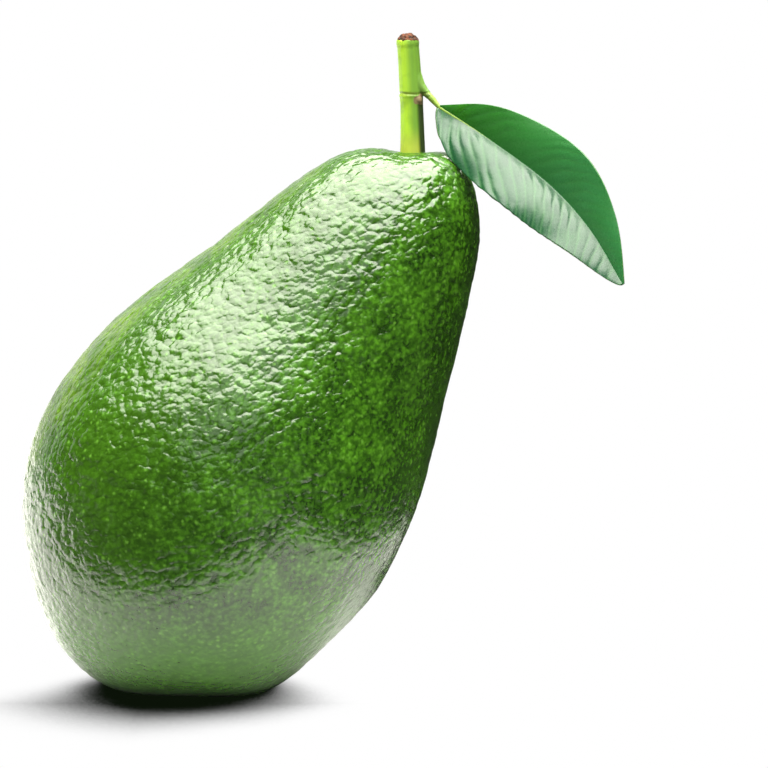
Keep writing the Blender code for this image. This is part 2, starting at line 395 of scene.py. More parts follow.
above_floor = node(
    pebbling, "ShaderNodeVectorMath", {0: place, 1: (-1.0, -1.0, 0.0)}, operation="MAXIMUM"
).outputs[0]
pressed = node(
    pebbling, "GeometryNodeSetPosition", {"Geometry": moved, "Position": above_floor}
).outputs[0]
real = node(pebbling, "GeometryNodeRealizeInstances", {0: pressed}).outputs[0]
peeled = node(
    pebbling, "GeometryNodeSetMaterial", {"Geometry": real, "Material": given["Peel"]}
).outputs[0]
node(pebbling, "NodeGroupOutput", {0: peeled})
print("pebbled skin tree:", len(pebbling.nodes), "nodes")

# %% [markdown]
# ## The peel
# An avocado's peel is a waxy leather skin. It is dark green, clouded over several millimetres, and
# peppered with lenticels: pale pores half a millimetre wide. The clouding lies on the fine pebbles' tops,
# and the creases between them keep the dark ground as painted shade. Painted light makes the flank that
# faces up to the left lighter, with painted rim light in nearly yellow patches and specks along its edge,
# and paints the bottom paler, as light from the floor. The wax gives it a clear satin gloss. All of that
# is read from the place on the fruit, so nothing has to be unwrapped. One cell works out how much of each
# colour lies where, and the next lays the colours over each other.

# %% Where each of the peel's colours lies
DEEP_GREEN = "#143002"
CLOUD_GREEN = "#417314"
# painted light: the lighter green of the flank that faces up to the left
LIT_FLANK_GREEN = "#2a4b07"
# painted rim light: nearly yellow near the outline of the flank that faces the light
RIM_LIGHT_YELLOW = "#577010"
# painted light from the floor: the paler green towards the bottom
FLOOR_LIT_GREEN = "#456f28"
PORE_GREEN = "#517f27"
SCAR_BROWN = "#4a3a22"
CLOUD_SIZE = 7.0 * MM
FLECK_SIZE = 0.8 * MM
WRINKLE_SIZE = 1.5 * MM
PORE_SPACING = 1.1 * MM
PORE_WANDER = 0.6 * MM
PORE_REACH = 0.52  # of the spacing, for the widest ones

peel, tree, shader, spot = blank_material("avocado peel")
domes = pebble_pattern(tree, spot, FINE_PEBBLE, RIDGE_SLANT)
clouds = node(
    tree, "ShaderNodeTexNoise", {"Vector": spot, "Scale": 1.0 / CLOUD_SIZE, "Detail": 3.0}
).outputs[0]
flecks = node(
    tree, "ShaderNodeTexNoise", {"Vector": spot, "Scale": 1.0 / FLECK_SIZE, "Detail": 2.0}
)
wrinkles = node(
    tree, "ShaderNodeTexNoise", {"Vector": spot, "Scale": 1.0 / WRINKLE_SIZE, "Detail": 2.0}
).outputs[0]
cloudy = node(
    tree, "ShaderNodeMapRange", {"Value": clouds, "From Min": 0.40, "From Max": 0.66, "To Max": 0.45}
).outputs[0]
flecked = node(
    tree, "ShaderNodeMapRange", {"Value": flecks.outputs[0], "From Min": 0.40, "From Max": 0.66}
).outputs[0]
lighter = node(tree, "ShaderNodeMath", {0: flecked, 1: 0.7, 2: cloudy}, operation="MULTIPLY_ADD").outputs[0]
# the clouding lies only on the fine pebbles' tops, so the creases keep the dark ground as painted shade
clouding_and_crease_shade = node(tree, "ShaderNodeMath", {0: lighter, 1: domes}, operation="MULTIPLY").outputs[0]
facing_light = node(tree, "ShaderNodeAttribute", attribute_name="facing_light").outputs["Fac"]
# painted light, on the flank that faces up to the left, towards the light
painted_lit_flank = node(
    tree,
    "ShaderNodeMapRange",
    {"Value": facing_light, "From Min": -0.25, "From Max": 0.70, "To Max": 0.68},
    interpolation_type="SMOOTHSTEP",
).outputs[0]
# painted rim light near the outline of the flank that faces the light, broken into patches and specks
at_lit_rim = node(
    tree,
    "ShaderNodeMapRange",
    {"Value": facing_light, "From Min": 0.84, "From Max": 1.0, "To Max": 0.8},
    interpolation_type="SMOOTHSTEP",
).outputs[0]
patchy = node(
    tree, "ShaderNodeMapRange", {"Value": clouds, "From Min": 0.36, "From Max": 0.58, "To Min": 0.2}
).outputs[0]
speckled = node(
    tree,
    "ShaderNodeMapRange",
    {"Value": flecks.outputs[0], "From Min": 0.38, "From Max": 0.55, "To Min": 0.5},
).outputs[0]
broken = node(tree, "ShaderNodeMath", {0: patchy, 1: speckled}, operation="MULTIPLY").outputs[0]
painted_rim_light = node(tree, "ShaderNodeMath", {0: at_lit_rim, 1: broken}, operation="MULTIPLY").outputs[0]
height = node(tree, "ShaderNodeSeparateXYZ", {0: spot}).outputs["Z"]
# painted light from the floor: paler towards the bottom
painted_floor_light = node(
    tree,
    "ShaderNodeMapRange",
    {"Value": height, "From Min": 24.0 * MM, "From Max": 6.0 * MM, "To Max": 0.6},
    interpolation_type="SMOOTHSTEP",
).outputs[0]
pore_stray = node(
    tree,
    "ShaderNodeVectorMath",
    {0: flecks.outputs["Color"], 1: (PORE_WANDER,) * 3, 2: spot},
    operation="MULTIPLY_ADD",
).outputs[0]
pores = node(tree, "ShaderNodeTexVoronoi", {"Vector": pore_stray, "Scale": 1.0 / PORE_SPACING})
pore_chance = node(tree, "ShaderNodeSeparateColor", {0: pores.outputs["Color"]}).outputs[0]
pore_reach = node(tree, "ShaderNodeMath", {0: pore_chance, 1: PORE_REACH}, operation="MULTIPLY").outputs[0]
pore_disc = node(
    tree,
    "ShaderNodeMapRange",
    {"Value": pores.outputs["Distance"], "From Min": pore_reach, "From Max": 0.0},
    interpolation_type="SMOOTHSTEP",
).outputs[0]
pore = node(tree, "ShaderNodeMath", {0: pore_disc, 1: pore_chance}, operation="MULTIPLY").outputs[0]
from_blossom = node(
    tree, "ShaderNodeVectorMath", {0: spot, 1: BLOSSOM_END}, operation="DISTANCE"
).outputs["Value"]
scar = node(
    tree,
    "ShaderNodeMapRange",
    {"Value": from_blossom, "From Min": 2.6 * MM, "From Max": 1.2 * MM},
    interpolation_type="SMOOTHSTEP",
).outputs[0]

# %% The peel's colours, gloss and fine relief
paint(
    tree,
    shader,
    DEEP_GREEN,
    [
        (clouding_and_crease_shade, CLOUD_GREEN),
        (painted_lit_flank, LIT_FLANK_GREEN),
        (painted_rim_light, RIM_LIGHT_YELLOW),
        (painted_floor_light, FLOOR_LIT_GREEN),
        (pore, PORE_GREEN),
        (scar, SCAR_BROWN),
    ],
)
wax = node(
    tree,
    "ShaderNodeMapRange",
    {"Value": flecks.outputs[0], "From Min": 0.3, "From Max": 0.7, "To Min": 0.15, "To Max": 0.23},
).outputs[0]
tree.links.new(wax, shader.inputs["Roughness"])
shader.inputs["Specular IOR Level"].default_value = 0.56
fine_relief = node(
    tree, "ShaderNodeMath", {0: wrinkles, 1: 0.7, 2: domes}, operation="MULTIPLY_ADD"
).outputs[0]
with_flecks = node(
    tree, "ShaderNodeMath", {0: flecks.outputs[0], 1: 0.3, 2: fine_relief}, operation="MULTIPLY_ADD"
).outputs[0]
relief = node(tree, "ShaderNodeAttribute", attribute_name="relief").outputs["Fac"]
bump = node(
    tree, "ShaderNodeBump", {"Height": with_flecks, "Strength": relief, "Distance": 0.15 * MM}
).outputs[0]
tree.links.new(bump, shader.inputs["Normal"])
print("peel:", len(tree.nodes), "nodes")

# %% The fruit gets its pebbles and its peel
finished(
    fruit,
    pebbling,
    {
        "Pebble size": PEBBLE,
        "Pebble height": 0.26 * MM,
        "Swell size": 5.0 * MM,
        "Swell height": 0.26 * MM,
        "Slant": RIDGE_SLANT,
        "Calm distance": 5.0 * MM,
        "Stem foot": (STEM_PLACE.x, STEM_PLACE.y, CROWN_Z),
        "Light side": ACROSS,
        "Smooth side": (0.45, -0.50, -0.74),  # right, front and down
        "Smooth relief": 0.60,
        "Peel": peel,
    },
)
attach(fruit, "root")
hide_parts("fruit")

# %% [markdown]
# ## The stem
# The stem is a picked twig: a round stalk with a ring half way up, where a bud left its scar, a shoulder
# that swells out into the leaf's own stalk, and a brown corky end where it was cut. Tubes that only
# touch would show a hard seam where the shoulder leaves the stalk, so the pieces are fused by a voxel
# remesh and smoothed, which lets them flow into each other as grown wood does. The fibres are pressed
# in afterwards, because the remesh would lose them.

# %% The stem's own rule
GAP = 0.3 * MM
STEM_TOP = Vector((39.35, 1.5, 118.0)) * MM
STEM_BOW = 0.25 * MM
STEM_RINGS = [  # share of the stem's height, radius in mm
    (0.00, 2.25),
    (0.18, 2.15),
    (0.38, 2.06),
    (0.455, 2.10),
    (0.475, 2.20),
    (0.495, 2.10),
    (0.60, 2.04),
    (0.75, 1.98),
    (0.88, 1.98),
    (0.91, 2.08),
    (0.945, 2.02),
    (0.975, 1.55),
    (1.00, 0.85),
]
SHOULDER = [  # x, y, z and radius in mm
    (39.9, 1.5, 112.0, 1.55),
    (40.9, 1.2, 109.9, 1.35),
    (41.8, 0.9, 108.4, 1.00),
    (42.6, 0.7, 107.6, 0.75),
    (43.5, 0.45, 106.7, 0.63),
]
BUD_PLACE = Vector((41.3, 0.4, 106.2)) * MM
BUD_RADIUS = 0.85 * MM
STEM_ROOT = 1.2 * MM  # how far the stalk reaches down into the dimple
RING_Z = 106.95 * MM
CORK_Z = 116.75 * MM
FUSE_VOXEL = 0.11 * MM
FLOW_ROUNDS = 14  # of smoothing


def tube(name, points, radii):
    """A round closed tube through points, with a radius at each."""
    curve = bpy.data.curves.new(name, "CURVE")
    curve.dimensions = "3D"
    curve.bevel_depth = 1.0
    curve.bevel_resolution = 6
    curve.use_fill_caps = True
    spline = curve.splines.new("POLY")
    spline.points.add(len(points) - 1)
    for knot, at, radius in zip(spline.points, points, radii):
        knot.co = (*at, 1.0)
        knot.radius = radius
    drawn = bpy.data.objects.new(name, curve)
    bpy.context.scene.collection.objects.link(drawn)
    bm = bmesh.new()
    evaluated = drawn.evaluated_get(bpy.context.evaluated_depsgraph_get())
    bm.from_mesh(bpy.data.meshes.new_from_object(evaluated))
    bmesh.ops.remove_doubles(bm, verts=bm.verts, dist=0.00001)
    bmesh.ops.recalc_face_normals(bm, faces=bm.faces)
    bpy.data.objects.remove(drawn)
    return mesh_object(name, bm)


def stem_centre(share):
    foot = STEM_PLACE.copy()
    foot.z = CROWN_Z - DIMPLE_DEPTH * bell(STEM_RINGS[0][1] * MM, DIMPLE_WIDTH) + GAP
    bow = Vector((STEM_BOW * math.sin(math.pi * share), 0.0, 0.0))
    return foot.lerp(STEM_TOP, share) + bow


# %% Stalk, shoulder and bud, fused
centres = [stem_centre(share) for share, _ in STEM_RINGS]
radii = [radius * MM for _, radius in STEM_RINGS]
centres.insert(0, centres[0] - Vector((0.0, 0.0, STEM_ROOT)))
radii.insert(0, radii[0])
stem = tube("stem_stalk", centres, radii)
shoulder = tube("shoulder", [Vector(row[:3]) * MM for row in SHOULDER], [row[3] * MM for row in SHOULDER])
bm = bmesh.new()
bmesh.ops.create_uvsphere(bm, u_segments=24, v_segments=16, radius=BUD_RADIUS)
bmesh.ops.translate(bm, verts=bm.verts, vec=BUD_PLACE)
bud = mesh_object("bud", bm)
for other in (shoulder, bud):
    union = stem.modifiers.new("with " + other.name, "BOOLEAN")
    union.operation = "UNION"
    union.object = other
remesh = stem.modifiers.new("fuse", "REMESH")
remesh.mode = "VOXEL"
remesh.voxel_size = FUSE_VOXEL
remesh.use_smooth_shade = True
even_out = stem.modifiers.new("flow", "SMOOTH")
even_out.iterations = FLOW_ROUNDS
finished(stem)
bpy.data.objects.remove(shoulder)
bpy.data.objects.remove(bud)

# %% Fibres, the ring and the ragged cut
FIBRE_WIDTH = 0.34 * MM
FIBRE_LENGTH = 9.0 * MM
FIBRE_HEIGHT = 0.045 * MM
LIP_SIZE = 1.3 * MM  # the ring and the cork's edge rise and fall round the stalk
LIP_HEIGHT = 0.25 * MM
RING_RISE = 0.35 * MM  # from the ring's height to its groove
RING_DEPTH = 0.10 * MM
RING_WIDTH = 0.20 * MM
CORK_EDGE = 0.5 * MM
CORK_GRAIN = 0.5 * MM
CORK_HEIGHT = 0.22 * MM

normals = [v.normal.copy() for v in stem.data.vertices]
for v, outward in zip(stem.data.vertices, normals):
    p = v.co
    stretched = Vector((p.x / FIBRE_WIDTH, p.y / FIBRE_WIDTH, p.z / FIBRE_LENGTH))
    step = noise.noise(stretched) * FIBRE_HEIGHT
    lip = noise.noise(p / LIP_SIZE) * LIP_HEIGHT
    step -= RING_DEPTH * bell(p.z - RING_Z - RING_RISE - lip, RING_WIDTH)
    corky = smooth_step((p.z - CORK_Z - lip) / CORK_EDGE)
    step += (noise.noise(p / CORK_GRAIN) - 0.4) * CORK_HEIGHT * corky
    v.co = p + outward * step
print("stem:", [round(side / MM, 2) for side in stem.dimensions])

# %% [markdown]
# ## Stalk, cork and scar
# The stalk is young green wood with a thin smooth bark. It is yellow-green and yellower at the foot, with
# fine darker fibres that run its whole length. Light and shade are painted across it: paler down the left
# side, darker down the right and towards the shoulder, with a painted shadow below the ring on the right.
# Where it was cut it has dried to a rough red-brown cork, and the bud left a small pinkish scar under the
# shoulder.

# %% Green stalk material
STALK_SIDE = (1.0, 0.0, 0.05)  # to the right, square to the stalk's lean
STALK_AXIS = 45.25 * MM  # how far that way its middle lies
STALK_PATCH = 2.5 * MM

stalk, tree, shader, spot = blank_material("green stalk")
fibre_scale = (1.0 / FIBRE_WIDTH, 1.0 / FIBRE_WIDTH, 1.0 / FIBRE_LENGTH)
along_fibres = node(tree, "ShaderNodeMapping", {"Vector": spot, "Scale": fibre_scale}).outputs[0]
fibres = node(
    tree, "ShaderNodeTexNoise", {"Vector": along_fibres, "Scale": 1.0, "Detail": 3.0}
).outputs[0]
patches = node(
    tree, "ShaderNodeTexNoise", {"Vector": spot, "Scale": 1.0 / STALK_PATCH, "Detail": 2.0}
).outputs[0]
height = node(tree, "ShaderNodeSeparateXYZ", {0: spot}).outputs["Z"]
side = node(
    tree, "ShaderNodeVectorMath", {0: spot, 1: STALK_SIDE}, operation="DOT_PRODUCT"
).outputs["Value"]
# painted shade: darker down the stalk's right side, and more so towards the shoulder
painted_right_shade = node(
    tree,
    "ShaderNodeMapRange",
    {"Value": side, "From Min": STALK_AXIS - 0.9 * MM, "From Max": STALK_AXIS + 0.7 * MM},
    interpolation_type="SMOOTHSTEP",
).outputs[0]
painted_shoulder_shade = node(
    tree,
    "ShaderNodeMapRange",
    {"Value": side, "From Min": STALK_AXIS + 1.0 * MM, "From Max": STALK_AXIS + 2.1 * MM},
    interpolation_type="SMOOTHSTEP",
).outputs[0]
patchy = node(
    tree, "ShaderNodeMapRange", {"Value": patches, "From Min": 0.5, "From Max": 0.75, "To Max": 0.5}
).outputs[0]
at_foot = node(
    tree,
    "ShaderNodeMapRange",
    {"Value": height, "From Min": 102.0 * MM, "From Max": 97.0 * MM, "To Max": 0.7},
    interpolation_type="SMOOTHSTEP",
).outputs[0]
below_ring = node(
    tree,
    "ShaderNodeMapRange",
    {"Value": height, "From Min": RING_Z - 0.3 * MM, "From Max": RING_Z - 1.6 * MM},
).outputs[0]
far_side = node(
    tree,
    "ShaderNodeMapRange",
    {"Value": side, "From Min": STALK_AXIS + 0.9 * MM, "From Max": STALK_AXIS + 1.6 * MM},
    interpolation_type="SMOOTHSTEP",
).outputs[0]
# painted shadow: darker below the ring on the right side
painted_shadow_below_ring = node(tree, "ShaderNodeMath", {0: below_ring, 1: far_side}, operation="MULTIPLY").outputs[0]
on_ring = node(
    tree, "ShaderNodeMath", {0: height, 1: RING_Z + RING_RISE, 2: RING_RISE}, operation="COMPARE"
).outputs[0]
ringed = node(tree, "ShaderNodeMath", {0: on_ring, 1: patches}, operation="MULTIPLY").outputs[0]
paint(
    tree,
    shader,
    "#a6cc2c",  # young bark, as on the lit left side
    [
        (fibres, "#8fba2c"),
        (painted_right_shade, "#638d29"),
        (painted_shoulder_shade, "#587c2a"),
        (patchy, "#5f8626"),
        (at_foot, "#a5ab3e"),
        (painted_shadow_below_ring, "#26370f"),  # painted shadow below the ring, on the right side
        (ringed, "#55591c"),
    ],
)
bark_gloss = node(
    tree, "ShaderNodeMapRange", {"Value": fibres, "To Min": 0.36, "To Max": 0.56}
).outputs[0]
tree.links.new(bark_gloss, shader.inputs["Roughness"])
bump = node(
    tree, "ShaderNodeBump", {"Height": fibres, "Strength": 0.5, "Distance": 0.08 * MM}
).outputs[0]
tree.links.new(bump, shader.inputs["Normal"])

# %% Cork and scar materials
CORK_SPECKLE = 0.6 * MM
SCAR_SPECKLE = 0.45 * MM
WOBBLE_SIZE = 0.8 * MM  # the edges between the finishes wander
WOBBLE = 0.3 * MM

cork, tree, shader, spot = blank_material("dried cork")
grain = node(
    tree, "ShaderNodeTexNoise", {"Vector": spot, "Scale": 1.0 / CORK_SPECKLE, "Detail": 4.0}
).outputs[0]
contrast = node(
    tree, "ShaderNodeMapRange", {"Value": grain, "From Min": 0.38, "From Max": 0.66}
).outputs[0]
paint(tree, shader, "#1d1409", [(contrast, "#5c331d")])
shader.inputs["Roughness"].default_value = 0.8
shader.inputs["Specular IOR Level"].default_value = 0.2
bump = node(
    tree, "ShaderNodeBump", {"Height": grain, "Strength": 0.8, "Distance": 0.2 * MM}
).outputs[0]
tree.links.new(bump, shader.inputs["Normal"])

scar_bark, tree, shader, spot = blank_material("bud scar")
grain = node(
    tree, "ShaderNodeTexNoise", {"Vector": spot, "Scale": 1.0 / SCAR_SPECKLE, "Detail": 3.0}
).outputs[0]
paint(tree, shader, "#62613a", [(grain, "#7d6048")])
shader.inputs["Roughness"].default_value = 0.6
bump = node(
    tree, "ShaderNodeBump", {"Height": grain, "Strength": 0.5, "Distance": 0.1 * MM}
).outputs[0]
tree.links.new(bump, shader.inputs["Normal"])

# %% Each face of the stem gets the finish of where it is
for finish in (stalk, cork, scar_bark):
    stem.data.materials.append(finish)
for face in stem.data.polygons:
    wobble = noise.noise(face.center / WOBBLE_SIZE) * WOBBLE
    if face.center.z > CORK_Z + wobble:
        face.material_index = 1
    elif (face.center - BUD_PLACE).length < BUD_RADIUS + 0.25 * MM + wobble:
        face.material_index = 2
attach(stem, "root")
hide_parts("stem")

# %% [markdown]
# ## The leaf
# The leaf is a thin blade, folded along its midrib like an open book and drawn out to a point, with side
# veins that sink into it and leave the blade quilted between them, most on the lower half. That half is
# bent back where it starts, and its edge curls over there. The outline and the fold follow a rule, so a
# flat grid is bent by that rule, and each point is told how far along the blade and how far out from the
# midrib it lies. A second Geometry Nodes tree reads those two distances and presses in the veins.

# %% The rule for the blade
STALK_START = Vector((42.9, 0.6, 107.3)) * MM
STALK_RADIUS = 0.60 * MM
MIDRIB = [  # mm, from the blade's base to its tip
    (45.1, 0.0, 105.0),
    (53.5, -2.6, 99.7),
    (64.2, -7.0, 92.0),
    (71.5, -11.3, 84.2),
    (77.15, -15.5, 74.9),
]
LEAF_LOWER_HALF = (9.3 * MM, 0.85, 0.75)  # width, skew towards the base, taper towards the ends
LEAF_UPPER_HALF = (9.1 * MM, 0.97, 1.00)
LEAF_TIP_WIDTH = 0.35 * MM
LEAF_THICKNESS = 0.40 * MM
LEAF_FACING = Vector((-0.15, -0.85, 0.50))
LEAF_LOWER_FOLD = math.radians(24.0)
LEAF_UPPER_FOLD = math.radians(40.0)
LEAF_FLATTENING = 0.30
LEAF_BASE_FOLD = -0.6  # share of its fold that the lower half has where it starts
LEAF_OPENING = 0.27  # share of the blade over which it folds up
LEAF_CURL = 0.75  # the lower half's edge turns over, most near the base
LEAF_WAVE = 0.45 * MM
LEAF_WAVES = 2.5
LEAF_LENGTH = 48.0 * MM
LEAF_ROWS = 220
LEAF_COLUMNS = 90


def midrib_point(share):
    return through([Vector(knot) * MM for knot in MIDRIB], share)


def leaf_frame(share):
    """The midrib, the blade's side direction and its facing at a share of its length."""
    step = 0.01
    ahead = midrib_point(min(share + step, 1.0)) - midrib_point(max(share - step, 0.0))
    ahead.normalize()
    facing = (LEAF_FACING - ahead * LEAF_FACING.dot(ahead)).normalized()
    return midrib_point(share), ahead.cross(facing), facing


def leaf_half_width(share, half):
    width, skew, taper = half
    return width * max(math.sin(math.pi * share**skew), 0.0) ** taper + LEAF_TIP_WIDTH


def leaf_point(share, side):
    """A point of the blade and its distance from the midrib, for a side from -1, above, to 1, below."""
    middle, sideways, facing = leaf_frame(share)
    out = abs(side)
    opened = LEAF_BASE_FOLD + (1.0 - LEAF_BASE_FOLD) * smooth_step(share / LEAF_OPENING)
    fold = LEAF_LOWER_FOLD * opened if side > 0.0 else LEAF_UPPER_FOLD
    reach = leaf_half_width(share, LEAF_LOWER_HALF if side > 0.0 else LEAF_UPPER_HALF)
    curl = LEAF_FLATTENING + (LEAF_CURL * (1.0 - share) if side > 0.0 else 0.0)
    rise = reach * out * math.sin(fold) * (1.0 - curl * out)
    wave = LEAF_WAVE * out**2 * math.sin(2.0 * math.pi * LEAF_WAVES * share + side)
    flat = side * reach * math.cos(fold)
    place = middle + sideways * flat + facing * (rise + wave * math.sin(math.pi * share))
    return place, reach * side


# %% The bent grid
bm = bmesh.new()
bmesh.ops.create_grid(bm, x_segments=LEAF_ROWS, y_segments=LEAF_COLUMNS, size=1.0)
along_layer = bm.verts.layers.float.new("along")
out_layer = bm.verts.layers.float.new("out")
for v in bm.verts:
    share = 0.5 + 0.5 * v.co.x
    v.co, v[out_layer] = leaf_point(share, v.co.y)
    v[along_layer] = share * LEAF_LENGTH
bmesh.ops.recalc_face_normals(bm, faces=bm.faces)
if sum((f.normal for f in bm.faces), Vector()).dot(LEAF_FACING) < 0.0:
    bmesh.ops.reverse_faces(bm, faces=bm.faces)
leaf = mesh_object("leaf_blade", bm)
print("blade:", [round(side / MM, 1) for side in leaf.dimensions])

# %% The tree that presses in the side veins
WANDER_SIZE = 7.0 * MM

veining, given = geometry_tree(
    "leaf veins",
    {
        "Blade": "Geometry",
        "Vein spacing": "Float",
        "Vein lean": "Float",
        "Vein bend": "Float",
        "Quilt height": "Float",
        "Vein wander": "Float",
        "Leaf face": "Material",
    },
    "Veined blade",
)
along = node(veining, "GeometryNodeInputNamedAttribute", {"Name": "along"}, data_type="FLOAT").outputs[0]
side_out = node(veining, "GeometryNodeInputNamedAttribute", {"Name": "out"}, data_type="FLOAT").outputs[0]
out = node(veining, "ShaderNodeMath", {0: side_out}, operation="ABSOLUTE").outputs[0]
which = node(veining, "ShaderNodeMath", {0: side_out}, operation="SIGN").outputs[0]
place = node(veining, "GeometryNodeInputPosition").outputs[0]
outwards = node(veining, "GeometryNodeInputNormal").outputs[0]
leaned = node(veining, "ShaderNodeMath", {0: out, 1: given["Vein lean"]}, operation="MULTIPLY").outputs[0]
bent = node(
    veining, "ShaderNodeMath", {0: out, 1: given["Vein bend"]}, operation="MULTIPLY"
).outputs[0]
bent_out = node(veining, "ShaderNodeMath", {0: bent, 1: out, 2: leaned}, operation="MULTIPLY_ADD").outputs[0]
unleaned = node(veining, "ShaderNodeMath", {0: along, 1: bent_out}, operation="SUBTRACT").outputs[0]
wander = node(
    veining, "ShaderNodeTexNoise", {"Vector": place, "Scale": 1.0 / WANDER_SIZE, "Detail": 1.0}
).outputs[0]
strayed = node(
    veining, "ShaderNodeMath", {0: wander, 1: given["Vein wander"], 2: unleaned}, operation="MULTIPLY_ADD"
).outputs[0]
counted = node(
    veining, "ShaderNodeMath", {0: strayed, 1: given["Vein spacing"]}, operation="DIVIDE"
).outputs[0]
alternate = node(
    veining, "ShaderNodeMath", {0: which, 1: 0.25, 2: counted}, operation="MULTIPLY_ADD"
).outputs[0]
between = node(veining, "ShaderNodeMath", {0: alternate, 1: 0.5}, operation="PINGPONG").outputs[0]
quilt = node(
    veining,
    "ShaderNodeMapRange",
    {"Value": between, "From Max": 0.42},
    interpolation_type="SMOOTHSTEP",
).outputs[0]
at_rib = node(
    veining,
    "ShaderNodeMapRange",
    {"Value": out, "From Min": 0.2 * MM, "From Max": 2.0 * MM},
    interpolation_type="SMOOTHSTEP",
).outputs[0]
half_share = node(
    veining, "ShaderNodeMapRange", {"Value": which, "From Min": -1.0, "From Max": 1.0, "To Min": 0.18}
).outputs[0]
uneven = node(
    veining,
    "ShaderNodeMapRange",
    {"Value": wander, "From Min": 0.35, "From Max": 0.65, "To Min": 0.25, "To Max": 1.3},
).outputs[0]
to_tip = node(
    veining,
    "ShaderNodeMapRange",
    {"Value": along, "From Min": 40.0 * MM, "From Max": 20.0 * MM, "To Min": 0.35},
    interpolation_type="SMOOTHSTEP",
).outputs[0]
lifted = uneven
for share in (to_tip, half_share, at_rib, quilt, given["Quilt height"]):
    lifted = node(veining, "ShaderNodeMath", {0: lifted, 1: share}, operation="MULTIPLY").outputs[0]
shift = node(veining, "ShaderNodeVectorMath", {0: outwards, "Scale": lifted}, operation="SCALE").outputs[0]
kept = node(
    veining,
    "GeometryNodeStoreNamedAttribute",
    {"Geometry": given["Blade"], "Name": "vein", "Value": quilt},
    data_type="FLOAT",
    domain="POINT",
).outputs[0]
moved = node(veining, "GeometryNodeSetPosition", {"Geometry": kept, "Offset": shift}).outputs[0]
real = node(veining, "GeometryNodeRealizeInstances", {0: moved}).outputs[0]
faced = node(
    veining, "GeometryNodeSetMaterial", {"Geometry": real, "Material": given["Leaf face"]}
).outputs[0]
node(veining, "NodeGroupOutput", {0: faced})
print("leaf veins tree:", len(veining.nodes), "nodes")

# %% [markdown]
# ## Leaf finishes
# The upper face of the leaf is waxed and glossy, a deep cool green with paler veins and a fine grain.
# On it a bluer green towards the tip is a painted sheen, and a darker lower half is painted shade.
# The underside has no wax: it is paler, greyer and dull. The midrib and the leaf's stalk are a light
# yellow-green. The veins' colour is read from the value that the tree kept for every point.

# %% Leaf materials
LEAF_GRAIN = 0.5 * MM
LEAF_PATCH = 4.0 * MM


def leaf_material(name, greens, patch_green, vein_green, gloss):
    """A leaf face: greens for base, tip (a painted sheen) and lower half (painted shade), patches, paler
    veins, and roughness.
    """
    base_green, tip_sheen_green, lower_half_shade_green = greens
    made, tree, shader, spot = blank_material(name)
    vein = node(tree, "ShaderNodeAttribute", attribute_name="vein").outputs["Fac"]
    along = node(tree, "ShaderNodeAttribute", attribute_name="along").outputs["Fac"]
    side_out = node(tree, "ShaderNodeAttribute", attribute_name="out").outputs["Fac"]
    grain = node(
        tree, "ShaderNodeTexNoise", {"Vector": spot, "Scale": 1.0 / LEAF_GRAIN, "Detail": 3.0}
    ).outputs[0]
    patches = node(
        tree, "ShaderNodeTexNoise", {"Vector": spot, "Scale": 1.0 / LEAF_PATCH, "Detail": 3.0}
    ).outputs[0]
    # painted sheen: a bluer green towards the tip
    towards_tip_sheen = node(
        tree, "ShaderNodeMapRange", {"Value": along, "From Min": 4.0 * MM, "From Max": 26.0 * MM}
    ).outputs[0]
    # painted shade: the lower half is darker
    shaded_lower_half = node(
        tree, "ShaderNodeMapRange", {"Value": side_out, "From Min": -0.3 * MM, "From Max": 0.3 * MM}
    ).outputs[0]
    clouded = node(
        tree, "ShaderNodeMapRange", {"Value": patches, "From Min": 0.38, "From Max": 0.66, "To Max": 0.35}
    ).outputs[0]
    in_vein = node(
        tree, "ShaderNodeMapRange", {"Value": vein, "From Min": 0.30, "From Max": 0.02, "To Max": 0.35}
    ).outputs[0]
    layers = [
        (towards_tip_sheen, tip_sheen_green),
        (shaded_lower_half, lower_half_shade_green),
        (clouded, patch_green),
        (in_vein, vein_green),
    ]
    paint(tree, shader, base_green, layers)
    rough = node(
        tree, "ShaderNodeMapRange", {"Value": grain, "To Min": gloss - 0.06, "To Max": gloss + 0.06}
    ).outputs[0]
    tree.links.new(rough, shader.inputs["Roughness"])
    shader.inputs["Specular IOR Level"].default_value = 0.44
    bump = node(
        tree, "ShaderNodeBump", {"Height": grain, "Strength": 0.35, "Distance": 0.05 * MM}
    ).outputs[0]
    tree.links.new(bump, shader.inputs["Normal"])
    return made


# base, tip and lower half: the tip's bluer green is a painted sheen and the lower half's darker green
# painted shade
WAXED_GREENS = ("#23610c", "#266332", "#154126")
DULL_GREENS = ("#4c7040", "#4c7040", "#4c7040")
RIB_GREENS = ("#6d8f2c", "#74983a", "#6d8f2c")
leaf_upper = leaf_material("waxed leaf face", WAXED_GREENS, "#215c24", "#2c642c", 0.28)
leaf_under = leaf_material("dull leaf underside", DULL_GREENS, "#587c4a", "#8ba36a", 0.62)
rib_green = leaf_material("leaf midrib", RIB_GREENS, "#7f9a3a", "#7f9a3a", 0.42)

# %% The blade gets its veins, its finishes and its thickness
finished(
    leaf,
    veining,
    {
        "Vein spacing": 2.6 * MM,
        "Vein lean": 1.0 / math.tan(math.radians(57.0)),
        "Vein bend": 0.03 / MM,
        "Quilt height": 0.19 * MM,
        "Vein wander": 3.0 * MM,
        "Leaf face": leaf_upper,
    },
)
leaf.data.materials.append(leaf_under)
wall = leaf.modifiers.new("thickness", "SOLIDIFY")
wall.thickness = LEAF_THICKNESS
wall.offset = -1.0
wall.material_offset = 1
wall.material_offset_rim = 1
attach(leaf, "root")
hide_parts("leaf")

# %% The midrib and the leaf's own stalk
RIB_STEPS = 60
RIB_RADIUS = 0.38 * MM
RIB_TIP_RADIUS = 0.12 * MM
RIB_DROP = 0.30 * MM
RIB_END = 0.96  # share of the blade

